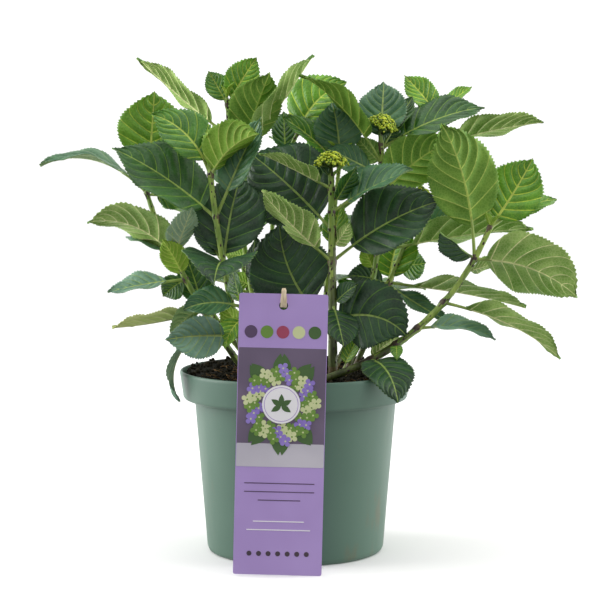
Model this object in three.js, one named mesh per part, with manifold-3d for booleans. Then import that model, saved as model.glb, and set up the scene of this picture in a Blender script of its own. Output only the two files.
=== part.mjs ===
import * as THREE from 'three';
import Module from 'manifold-3d';
import { mergeVertices } from 'three/addons/utils/BufferGeometryUtils.js';

// Young mophead shrub in a round nursery pot, with a card tag leaning on the front.
// Millimetres, +Z up, +X to the right and -Y to the front. The origin is the middle
// of the pot's flat underside.

// Driving sizes of the pot.
const potHeight = 181;
const rimRadius = 115;
const rimBandHeight = 28;
const rimLip = 2.5;
const bodyTopRadius = 100;
const footRadius = 88;
const wall = 2.2;
const floorThickness = 3;
const potSides = 52;

// Soil: how far below the rim it lies, and how far it heaps at the back and the sides.
const soilDrop = 9;
const soilHeap = 12;
const clearance = 0.3;

// Card tag, its cream strap and the slot that the strap goes through.
const tagWidth = 83.5;
const tagHeight = 265;
const tagThickness = 1.2;
const tagMiddle = -17;
const tagLean = 3.1;
const tagRoll = 1.4;
const tagCornerRadius = 2;
const strapWidth = 6;
const strapThickness = 1.6;
const holeDrop = 11;
const holeRadius = 4.2;

// A leaf's own proportions.
const leafThickness = 1.2;
const stalkRadius = 1.5;
const leafStations = [0, 0.12, 0.33, 0.58, 0.8, 0.93, 1];
const rootDepth = 13;

// Every cane is one curve through foot, knee and tip, tapering from the first girth to
// the second. Below `bare` it carries no leaf and is a piece of its own.
// A leaf's figures are, in order: where it grows on the cane (0 foot, 1 tip), the way it
// points seen from above (0 right, 90 away), how steeply it rises, how far it bends over,
// its twist about its own line, blade length, width as a share of that length, length of
// its stalk, and the upward fold of its two halves. Angles are in degrees.
const canes = {
  left_front: {
    foot: [-44, -35, 172], knee: [-71, -42, 296], tip: [-84, -38, 400], girth: [3.2, 2.4],
    bare: 0.41,
    leaves: [
      [0.47, -94, 10, 44, -4, 80, 0.92, 6, 20],
      [0.47, 64, 76, 22, 20, 84, 0.84, 10, 10],
      [0.67, 172, 41, 18, -35, 107, 0.74, 16, 12],
      [0.67, 20, 66, 4, 38, 80, 0.52, 28, 20],
      [0.87, 163, 68, 56, -45, 72, 0.68, 16, 10],
      [0.87, -30, 63, 42, -36, 70, 0.86, 6, 34],
    ],
  },
  left_low: {
    foot: [-43, -20, 172], knee: [-90, -28, 242], tip: [-119, -30, 298], girth: [3, 2.2],
    bare: 0.31,
    leaves: [
      [0.38, 199, -20, 104, 20, 88, 0.28, 6, 18],
      [0.5, 189, -15, -12, 22, 76, 0.46, 15, 20],
      [0.5, 130, 66, 10, -30, 50, 0.74, 8, 12],
      [0.52, 212, -20, 40, 75, 40, 0.6, 4, 10],
      [0.76, 185, -5, 10, -23, 58, 0.62, 19, 15],
      [0.76, -150, 62, 10, 60, 40, 0.66, 7, 14],
      [0.98, 191, 48, 61, 30, 88, 0.68, 8, 12],
      [0.98, -54, 58, 4, -6, 50, 0.62, 8, 12],
      [0.98, 150, 26, 24, -10, 50, 0.56, 10, 12],
    ],
  },
  front_low: {
    foot: [-30, -42, 172], knee: [-42, -56, 214], tip: [-52, -60, 250], girth: [2.8, 2.2],
    bare: 0.46,
    leaves: [
      [0.56, 194, 7, 16, -92, 58, 0.8, 26, 30],
      [0.84, 207, -33, 55, -19, 34, 0.84, 4, 12],
      [0.98, 184, 16, 44, -50, 48, 0.68, 10, 14],
    ],
  },
  far_left: {
    foot: [-34, 30, 172], knee: [-112, 45, 272], tip: [-151, 45, 358], girth: [2.8, 2.2],
    bare: 0.88,
    leaves: [
      [0.98, 64, 80, -2, 34, 72, 0.96, 32, 6],
      [0.98, 186, 47, 76, -8, 92, 0.52, 27, 12],
    ],
  },
  back_left: {
    foot: [-27, 8, 172], knee: [-54, 20, 321], tip: [-68, 12, 450], girth: [3, 1.6],
    bare: 0.62,
    leaves: [
      [0.97, 156, 60, 4, -60, 34, 0.7, 6, 14],
      [0.97, 14, 60, 6, 70, 48, 0.7, 8, 12],
      [0.84, 175, 38, -6, 30, 98, 0.4, 24, 14],
      [0.7, 5, 56, 0, -16, 108, 0.6, 34, 14],
      [0.7, -26, 70, 4, -45, 72, 0.74, 36, 8],
    ],
  },
  back_centre: {
    foot: [-6, 45, 172], knee: [-24, 55, 312], tip: [5, 55, 420], girth: [2.6, 1.8],
    bare: 0.74,
    leaves: [
      [0.97, 9, 68, 52, 45, 67, 0.92, 8, 12],
      [0.83, 95, 68, 12, 0, 44, 0.6, 12, 14],
    ],
  },
  centre_back: {
    foot: [23, 25, 172], knee: [35, 28, 298], tip: [45, 25, 393], girth: [2.6, 1.8],
    bare: 0.84,
    leaves: [
      [0.97, 122, 86, 24, -26, 52, 0.95, 8, 10],
      [0.93, 190, 49, 20, -36, 60, 0.74, 16, 14],
    ],
  },
  centre: {
    foot: [37, -25, 172], knee: [36, -30, 290], tip: [35, -26, 376], girth: [4.3, 2.8],
    bare: 0.17,
    flower: { radius: 17, height: 17, lean: [0, 0, 1], stem: 6 },
    leaves: [
      [0.2, 154, 39, -50, -62, 88, 0.92, 35, 8],
      [0.24, -16, 20, 70, 77, 74, 0.92, 7, 12],
      [0.5, 204, 39, -10, 19, 82, 0.61, 21, 14],
      [0.5, -3, 40, 24, 53, 98, 0.76, 25, 12],
      [0.66, 155, 45, 12, -62, 98, 0.9, 19, 8],
      [0.76, -11, 34, 15, 29, 71, 0.72, 19, 20],
      [0.9, 199, 28, 6, 8, 68, 0.55, 14, 16],
    ],
  },
  centre_right: {
    foot: [49, 5, 172], knee: [82, 18, 297], tip: [84, 12, 416], girth: [3, 2],
    bare: 0.37,
    flower: { radius: 16, height: 15, lean: [0.35, -0.2, 0.9], stem: 4 },
    leaves: [
      [0.5, 1, 13, 10, -27, 123, 0.54, 35, 14],
      [0.74, -7, 49, 26, -63, 80, 0.72, 9, 10],
      [0.81, 184, 30, 8, -56, 48, 0.66, 16, 10],
      [0.86, 196, 61, 34, 4, 94, 0.6, 32, 14],
      [0.93, 4, 33, 26, 28, 88, 0.68, 24, 12],
      [0.95, 82, 76, 22, 0, 60, 0.8, 8, 10],
    ],
  },
  right_low: {
    foot: [47, 25, 172], knee: [93, 30, 263], tip: [126, 22, 351], girth: [2.8, 2],
    bare: 0.43,
    flower: { radius: 9, height: 9, lean: [0, 0, 1], stem: 2 },
    leaves: [
      [0.51, -8, -5, 11, -14, 114, 0.56, 26, 14],
      [0.51, 48, 76, 14, 16, 56, 0.95, 6, 8],
      [0.5, -20, -33, -9, 28, 65, 0.36, 10, 14],
    ],
  },
  right_top: {
    foot: [58, 45, 172], knee: [109, 50, 302], tip: [144, 45, 440], girth: [2.8, 1.8],
    bare: 0.49,
    leaves: [
      [0.86, -5, 18, 12, -27, 94, 0.52, 23, 14],
      [0.98, 156, 50, 6, -40, 47, 0.7, 6, 12],
      [0.98, 8, 42, 10, 28, 34, 0.66, 11, 14],
      [0.56, -5, 23, 18, 55, 47, 0.73, 11, 14],
    ],
  },
  right_arch: {
    foot: [9, -35, 170], knee: [119, -42, 226], tip: [190, -38, 326], girth: [3.2, 2],
    bare: 0.2,
    leaves: [
      [0.27, -66, 2, 74, 6, 64, 0.76, 11, 8],
      [0.39, -90, -10, 60, 0, 20, 0.6, 4, 14],
      [0.5, -3, 8, 38, 13, 65, 0.66, 13, 14],
      [0.65, -8, -12, 30, -24, 105, 0.5, 22, 14],
      [0.86, 208, 87, 31, 65, 107, 0.62, 32, 8],
      [0.86, -7, -1, 44, -53, 98, 0.78, 11, 8],
      [0.99, 18, 52, -10, 60, 69, 0.82, 12, 10],
      [0.99, 20, 34, 32, 30, 54, 0.62, 24, 14],
      [0.86, 196, 35, -5, -158, 42, 0.8, 4, 30],
    ],
  },
  rear_left: {
    foot: [-20, 52, 172], knee: [-50, 82, 258], tip: [-62, 92, 345], girth: [2.8, 2],
    bare: 0.36,
    leaves: [
      [0.45, 138, 24, 34, 0, 84, 0.66, 22, 12],
      [0.45, 196, 30, 30, -10, 60, 0.64, 16, 12],
      [0.72, 150, 36, 30, 0, 84, 0.66, 22, 12],
      [0.72, 40, 46, 24, 0, 76, 0.66, 20, 12],
      [0.98, 100, 52, 26, 0, 78, 0.66, 14, 12],
      [0.98, 10, 70, 16, 0, 52, 0.66, 10, 12],
    ],
  },
  rear_centre: {
    foot: [12, 58, 172], knee: [14, 92, 262], tip: [16, 104, 365], girth: [2.8, 2],
    bare: 0.33,
    leaves: [
      [0.42, 60, 20, 34, 0, 86, 0.66, 22, 12],
      [0.42, 142, 26, 34, 0, 62, 0.66, 18, 12],
      [0.7, 112, 32, 32, 0, 92, 0.66, 22, 12],
      [0.7, 0, 50, 20, 0, 60, 0.66, 16, 12],
      [0.98, 64, 50, 28, 0, 80, 0.66, 14, 12],
      [0.98, 170, 58, 20, 0, 56, 0.66, 12, 12],
    ],
  },
  rear_right: {
    foot: [38, 54, 172], knee: [76, 84, 250], tip: [104, 94, 338], girth: [2.8, 2],
    bare: 0.36,
    leaves: [
      [0.45, 90, 18, 34, 0, 84, 0.66, 22, 12],
      [0.45, 30, 22, 34, 0, 60, 0.66, 16, 12],
      [0.72, 120, 36, 30, 0, 82, 0.66, 20, 12],
      [0.72, 20, 44, 26, 0, 70, 0.66, 16, 12],
      [0.98, 80, 48, 28, 0, 80, 0.66, 14, 12],
      [0.98, 170, 62, 16, 0, 54, 0.66, 10, 12],
    ],
  },
};

const wasm = await Module();
wasm.setup();
const { Manifold, Mesh } = wasm;

const radians = (angle) => (angle * Math.PI) / 180;
const vec = (x, y, z) => new THREE.Vector3(x, y, z);
const up = vec(0, 0, 1);

// A closed three.js geometry as a solid that can be joined and cut.
function solidOf(geometry) {
  const bare = geometry.clone();
  bare.deleteAttribute('normal');
  bare.deleteAttribute('uv');
  const merged = mergeVertices(bare, 1e-4);
  return new Manifold(new Mesh({
    numProp: 3,
    vertProperties: new Float32Array(merged.attributes.position.array),
    triVerts: new Uint32Array(merged.index.array),
  }));
}

// The solid as a named mesh with its own material.
function meshOf(name, solid, look) {
  const grid = solid.getMesh();
  const geometry = new THREE.BufferGeometry();
  geometry.setAttribute('position', new THREE.BufferAttribute(new Float32Array(grid.vertProperties), 3));
  geometry.setIndex(new THREE.BufferAttribute(new Uint32Array(grid.triVerts), 1));
  const flat = geometry.toNonIndexed();
  flat.computeVertexNormals();
  const mesh = new THREE.Mesh(flat, new THREE.MeshStandardMaterial(look));
  mesh.name = name;
  return mesh;
}

// A closed body from rings of points that all have the same count, capped at both ends.
function skin(rings) {
  const count = rings[0].length;
  const points = rings.flat();
  const index = [];
  for (let r = 0; r + 1 < rings.length; r += 1) {
    for (let k = 0; k < count; k += 1) {
      const a = r * count + k;
      const b = r * count + ((k + 1) % count);
      index.push(a, b, b + count, a, b + count, a + count);
    }
  }
  const last = (rings.length - 1) * count;
  for (let k = 1; k + 1 < count; k += 1) {
    index.push(0, k + 1, k);
    index.push(last, last + k, last + k + 1);
  }
  const geometry = new THREE.BufferGeometry();
  geometry.setAttribute('position', new THREE.Float32BufferAttribute(points.flatMap((p) => [p.x, p.y, p.z]), 3));
  geometry.setIndex(index);
  return geometry;
}

// A tapering limb along a row of points.
function limb(path, radii, sides) {
  const rings = path.map((p, i) => {
    const ahead = path[Math.min(i + 1, path.length - 1)];
    const behind = path[Math.max(i - 1, 0)];
    const along = ahead.clone().sub(behind).normalize();
    const across = Math.abs(along.x) > 0.9 ? vec(0, 1, 0) : vec(1, 0, 0);
    const u = across.sub(along.clone().multiplyScalar(across.dot(along))).normalize();
    const v = along.clone().cross(u);
    return Array.from({ length: sides }, (_, k) => {
      const angle = (2 * Math.PI * k) / sides;
      return p.clone()
        .addScaledVector(u, radii[i] * Math.cos(angle))
        .addScaledVector(v, radii[i] * Math.sin(angle));
    });
  });
  return solidOf(skin(rings));
}

// A point on a cane's curve, which passes through foot, knee and tip.
function canePoint(cane, t) {
  const [foot, knee, tip] = [cane.foot, cane.knee, cane.tip].map((p) => vec(...p));
  const pull = knee.clone().multiplyScalar(2).sub(foot.clone().add(tip).multiplyScalar(0.5));
  return foot.multiplyScalar((1 - t) ** 2)
    .addScaledVector(pull, 2 * t * (1 - t))
    .addScaledVector(tip, t * t);
}

function caneLength(cane) {
  let length = 0;
  for (let k = 0; k < 24; k += 1) {
    length += canePoint(cane, k / 24).distanceTo(canePoint(cane, (k + 1) / 24));
  }
  return length;
}

function caneStretch(cane, from, to, steps, extra, sides) {
  const path = [];
  const radii = [];
  for (let k = 0; k <= steps; k += 1) {
    const t = from + ((to - from) * k) / steps;
    path.push(canePoint(cane, t));
    radii.push(cane.girth[0] + (cane.girth[1] - cane.girth[0]) * t + extra);
  }
  return limb(path, radii, sides);
}

// Half the blade's width at a share s of its length: full in the middle, then a drip tip.
function halfWidth(s, width) {
  const peak = 0.4545;
  const u = Math.min(Math.max(s / 0.95, 1e-6), 1 - 1e-6);
  const body = (u / peak) ** 0.6 * ((1 - u) / (1 - peak)) ** 0.72;
  const drip = s > 0.5 ? 1.5 * (1 - s) : 0;
  return 0.5 * width * Math.max(body, drip);
}

// The line of a leaf from the cane's middle to the tip, with its side and upper
// directions at every station. It bends over more and more towards the tip.
function leafLine(root, row) {
  const [, turn, rise, droop, roll, length, , stalk] = row;
  const t = radians(turn);
  const r = radians(rise);
  const first = vec(Math.cos(r) * Math.cos(t), Math.cos(r) * Math.sin(t), Math.sin(r));
  const level = vec(-Math.sin(t), Math.cos(t), 0);
  const above = first.clone().cross(level);
  const whole = stalk + length;
  const bend = (s) => radians(droop) * s ** 1.3;
  const heading = (s) => first.clone().multiplyScalar(Math.cos(bend(s)))
    .addScaledVector(above, -Math.sin(bend(s)));
  const shares = [0, (0.5 * stalk) / whole];
  leafStations.forEach((s) => shares.push((stalk + s * length) / whole));
  const stations = [];
  let at = root.clone();
  let last = 0;
  shares.forEach((s) => {
    for (let k = 0; k < 5; k += 1) {
      at = at.clone().addScaledVector(heading(last + ((s - last) * (k + 0.5)) / 5), ((s - last) * whole) / 5);
    }
    last = s;
    const face = above.clone().multiplyScalar(Math.cos(bend(s)))
      .addScaledVector(first, Math.sin(bend(s)));
    const c = Math.cos(radians(roll));
    const n = Math.sin(radians(roll));
    stations.push({
      at,
      side: level.clone().multiplyScalar(c).addScaledVector(face, n),
      face: face.clone().multiplyScalar(c).addScaledVector(level, -n),
    });
  });
  return stations;
}

// A leaf in one skin: a stalk that starts inside the cane, then a thin folded blade.
function leafSolid(root, row) {
  const [, , , , , length, width, , fold] = row;
  const rings = leafLine(root, row).map(({ at, side, face }, i) => {
    const s = i < 2 ? 0 : leafStations[i - 2];
    const w = Math.max(halfWidth(s, width * length), i < 3 ? stalkRadius : 0.5);
    const half = i < 2 ? stalkRadius : leafThickness / 2;
    const out = w * Math.cos(radians(fold));
    const lift = i < 3 ? 0 : w * Math.sin(radians(fold));
    const edge = i < 2 ? 0.5 * half : half;
    const point = (x, z) => at.clone().addScaledVector(side, x).addScaledVector(face, z);
    return [
      point(out, lift + edge), point(0, half), point(-out, lift + edge),
      point(-out, lift - edge), point(0, -half), point(out, lift - edge),
    ];
  });
  return solidOf(skin(rings));
}

// A flower head in bud: a low dome of small knobs on a short stem.
function flowerSolid(cane) {
  const { radius, height, lean, stem } = cane.flower;
  const top = canePoint(cane, 1);
  const axis = vec(...lean).normalize();
  const stalk = limb(
    [canePoint(cane, 0.97), top, top.clone().addScaledVector(axis, stem + 2)],
    [cane.girth[1], cane.girth[1], cane.girth[1] * 1.3],
    6,
  );
  const rings = [];
  const across = 12;
  const layers = [[0.25, 0], [0.8, 0.18], [1, 0.45], [0.93, 0.68], [0.66, 0.9], [0.25, 1]];
  const turn = new THREE.Quaternion().setFromUnitVectors(up, axis);
  layers.forEach(([out, rise], layer) => {
    rings.push(Array.from({ length: across }, (_, k) => {
      const angle = (2 * Math.PI * (k + (layer % 2) / 2)) / across;
      const knob = 1 + 0.06 * Math.sin(3 * k + 2 * layer);
      return vec(radius * out * knob * Math.cos(angle), radius * out * knob * Math.sin(angle), height * rise)
        .applyQuaternion(turn)
        .add(top)
        .addScaledVector(axis, stem);
    }));
  });
  return stalk.add(solidOf(skin(rings)));
}

// The leafy upper part of a cane with everything that grows on it.
function foliageSolid(cane) {
  const from = cane.bare + clearance / caneLength(cane);
  let mass = caneStretch(cane, from, 1, 5, 0, 6);
  cane.leaves.forEach((row) => {
    mass = mass.add(leafSolid(canePoint(cane, row[0]), row));
  });
  if (cane.flower) {
    mass = mass.add(flowerSolid(cane));
  }
  return mass;
}

// The inner wall of the pot from the floor up, as radius and height.
const bandFoot = potHeight - rimBandHeight;
const insideWall = [
  [footRadius - wall - 3, floorThickness],
  [footRadius - wall, floorThickness + 3],
  [bodyTopRadius - wall, bandFoot - 4],
  [rimRadius - 5.5 - wall, bandFoot + wall + 2],
  [rimRadius - wall - 0.4, potHeight - 1.5],
];

// Pot: a turned shell with a deep rim band and a step under it.
function potSolid() {
  const outline = [
    [0, 0], [footRadius - 5, 0], [footRadius - 1.5, 1.5], [footRadius, 5],
    [bodyTopRadius, bandFoot - 3], [bodyTopRadius + 3, bandFoot], [rimRadius - 5, bandFoot],
    [rimRadius - 3.5, bandFoot + 2], [rimRadius, potHeight - rimLip], [rimRadius - 0.4, potHeight - 0.7],
    [rimRadius - 1.2, potHeight], [rimRadius - wall, potHeight],
    ...[...insideWall].reverse(), [0, floorThickness],
  ];
  const turned = new THREE.LatheGeometry(outline.map(([r, z]) => new THREE.Vector2(r, z)), potSides);
  turned.rotateX(Math.PI / 2);
  const solid = solidOf(turned);
  return solid.volume() < 0 ? solidOf(turned.scale(-1, 1, 1)) : solid;
}

// How high the soil stands at a place: low at the front, heaped at the back and sides.
function soilHeight(x, y) {
  const share = Math.hypot(x, y) / (rimRadius - wall);
  const around = Math.atan2(y, x);
  const side = 0.5 + 0.5 * Math.sin(around) + 0.25 * Math.cos(around) ** 2;
  const lumps = Math.sin(x / 9 + 1) * Math.cos(y / 11) + 0.6 * Math.sin((x + y) / 6);
  return potHeight - soilDrop + soilHeap * Math.min(side, 1) * share ** 3 + 0.9 * lumps * (1 - share ** 6);
}

function soilSolid() {
  const [ledge, lip] = insideWall.slice(3);
  const edge = potHeight - soilDrop - 2;
  const edgeRadius = ledge[0] + ((lip[0] - ledge[0]) * (edge - ledge[1])) / (lip[1] - ledge[1]);
  const low = [[0.01, floorThickness], ...insideWall.slice(0, 4), [edgeRadius, edge]]
    .map(([r, z], i) => [i ? r - 2 * clearance : r, z + clearance]);
  const shares = [0.965, 0.82, 0.62, 0.42, 0.2];
  const sides = 36;
  const rings = low.map(([r, z]) => Array.from({ length: sides }, (_, k) => {
    const angle = (2 * Math.PI * k) / sides;
    return vec(r * Math.cos(angle), r * Math.sin(angle), z);
  }));
  shares.forEach((share) => {
    rings.push(Array.from({ length: sides }, (_, k) => {
      const angle = (2 * Math.PI * k) / sides;
      const x = share * (rimRadius - wall) * Math.cos(angle);
      const y = share * (rimRadius - wall) * Math.sin(angle);
      return vec(x, y, soilHeight(x, y));
    }));
  });
  let soil = solidOf(skin(rings));
  Object.values(canes).forEach((cane) => {
    soil = soil.subtract(rootedCane(cane, clearance));
  });
  return soil;
}

// The bare lower part of a cane, sunk a little way into the soil.
function rootedCane(cane, extra) {
  const start = -(rootDepth + extra) / caneLength(cane);
  return caneStretch(cane, start, cane.bare, 6, extra, 6);
}

// Where the tag stands: foot on the ground, upper part against the rim.
function tagPose() {
  const lean = radians(tagLean);
  const backAtRim = -rimRadius - clearance;
  const pose = new THREE.Matrix4().makeTranslation(
    tagMiddle,
    backAtRim - (potHeight - rimLip) * Math.tan(lean) - (tagThickness / 2) / Math.cos(lean),
    0.5 * tagWidth * Math.sin(radians(tagRoll)) + 0.5 * tagThickness * Math.sin(lean),
  );
  return pose
    .multiply(new THREE.Matrix4().makeRotationX(-lean))
    .multiply(new THREE.Matrix4().makeRotationY(radians(tagRoll)));
}

function tagSolid() {
  const card = new THREE.Shape();
  const w = tagWidth / 2;
  const r = tagCornerRadius;
  card.moveTo(-w + r, 0).lineTo(w - r, 0).absarc(w - r, r, r, -Math.PI / 2, 0, false);
  card.lineTo(w, tagHeight - r).absarc(w - r, tagHeight - r, r, 0, Math.PI / 2, false);
  card.lineTo(-w + r, tagHeight).absarc(-w + r, tagHeight - r, r, Math.PI / 2, Math.PI, false);
  card.lineTo(-w, r).absarc(-w + r, r, r, Math.PI, 1.5 * Math.PI, false);
  const hole = new THREE.Path();
  hole.absarc(0, tagHeight - holeDrop, holeRadius, 0, 2 * Math.PI, true);
  card.holes.push(hole);
  const plate = new THREE.ExtrudeGeometry(card, { depth: tagThickness, bevelEnabled: false, curveSegments: 8 });
  plate.translate(0, 0, -tagThickness / 2).rotateX(Math.PI / 2);
  return solidOf(plate.applyMatrix4(tagPose()));
}

// The strap: a stiff ring of cream strip through the slot and over the card's top edge.
function strapSolid() {
  const inner = tagThickness / 2 + 0.9;
  const outer = inner + strapThickness;
  const low = -holeDrop - strapThickness / 2;
  const high = 4.5;
  const corner = (x, z) => new THREE.Vector2(x, z);
  const outside = [
    corner(-outer + 0.8, low), corner(outer - 0.8, low), corner(outer, low + 0.8), corner(outer, high - 1.2),
    corner(outer - 1.2, high), corner(-outer + 1.2, high), corner(-outer, high - 1.2), corner(-outer, low + 0.8),
  ];
  const inside = [
    corner(-inner, low + strapThickness), corner(-inner, high - strapThickness),
    corner(inner, high - strapThickness), corner(inner, low + strapThickness),
  ];
  const ring = new THREE.Shape(outside);
  ring.holes.push(new THREE.Path(inside));
  const band = new THREE.ExtrudeGeometry(ring, { depth: strapWidth, bevelEnabled: false });
  band.translate(0, 0, -strapWidth / 2).rotateX(Math.PI / 2).rotateZ(Math.PI / 2);
  band.translate(0, 0, tagHeight);
  return solidOf(band.applyMatrix4(tagPose()));
}

const group = new THREE.Group();
group.name = 'mophead_shrub_in_pot';

const potLook = { color: 0x5f8f7c, roughness: 0.55, metalness: 0 };
const soilLook = { color: 0x2b211a, roughness: 0.95, metalness: 0 };
const tagLook = { color: 0x9a7fc0, roughness: 0.45, metalness: 0 };
const strapLook = { color: 0xe8d9bd, roughness: 0.6, metalness: 0 };
const caneLook = { color: 0x8aa04a, roughness: 0.7, metalness: 0 };
const leafLook = { color: 0x2f6a38, roughness: 0.5, metalness: 0 };

group.add(meshOf('pot', potSolid(), potLook));
group.add(meshOf('soil', soilSolid(), soilLook));
group.add(meshOf('tag', tagSolid(), tagLook));
group.add(meshOf('tag_strap', strapSolid(), strapLook));
Object.entries(canes).forEach(([name, cane]) => {
  group.add(meshOf(`cane_${name}`, rootedCane(cane, 0), caneLook));
  group.add(meshOf(`foliage_${name}`, foliageSolid(cane), leafLook));
});

export default group;
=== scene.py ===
import math
import random

import bpy
import numpy as np
from mathutils import Matrix, Vector


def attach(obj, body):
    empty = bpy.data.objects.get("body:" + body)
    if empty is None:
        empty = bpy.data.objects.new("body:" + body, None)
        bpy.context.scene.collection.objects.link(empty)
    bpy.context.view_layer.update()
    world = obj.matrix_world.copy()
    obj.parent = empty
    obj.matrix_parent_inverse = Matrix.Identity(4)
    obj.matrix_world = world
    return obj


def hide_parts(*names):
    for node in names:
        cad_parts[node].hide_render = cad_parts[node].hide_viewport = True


# Mophead shrub in its nursery pot. Sizes and turns are in millimetres and degrees, the same
# as in the part's own source, and the meshes are made in metres.
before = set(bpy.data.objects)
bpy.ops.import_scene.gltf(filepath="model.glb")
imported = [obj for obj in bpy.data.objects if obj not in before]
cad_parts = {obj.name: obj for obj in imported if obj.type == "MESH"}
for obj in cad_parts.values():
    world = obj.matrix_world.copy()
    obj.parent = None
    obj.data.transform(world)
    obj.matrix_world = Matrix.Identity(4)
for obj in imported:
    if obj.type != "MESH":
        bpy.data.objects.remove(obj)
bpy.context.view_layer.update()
dice = random.Random(11)
mm = 0.001

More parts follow.
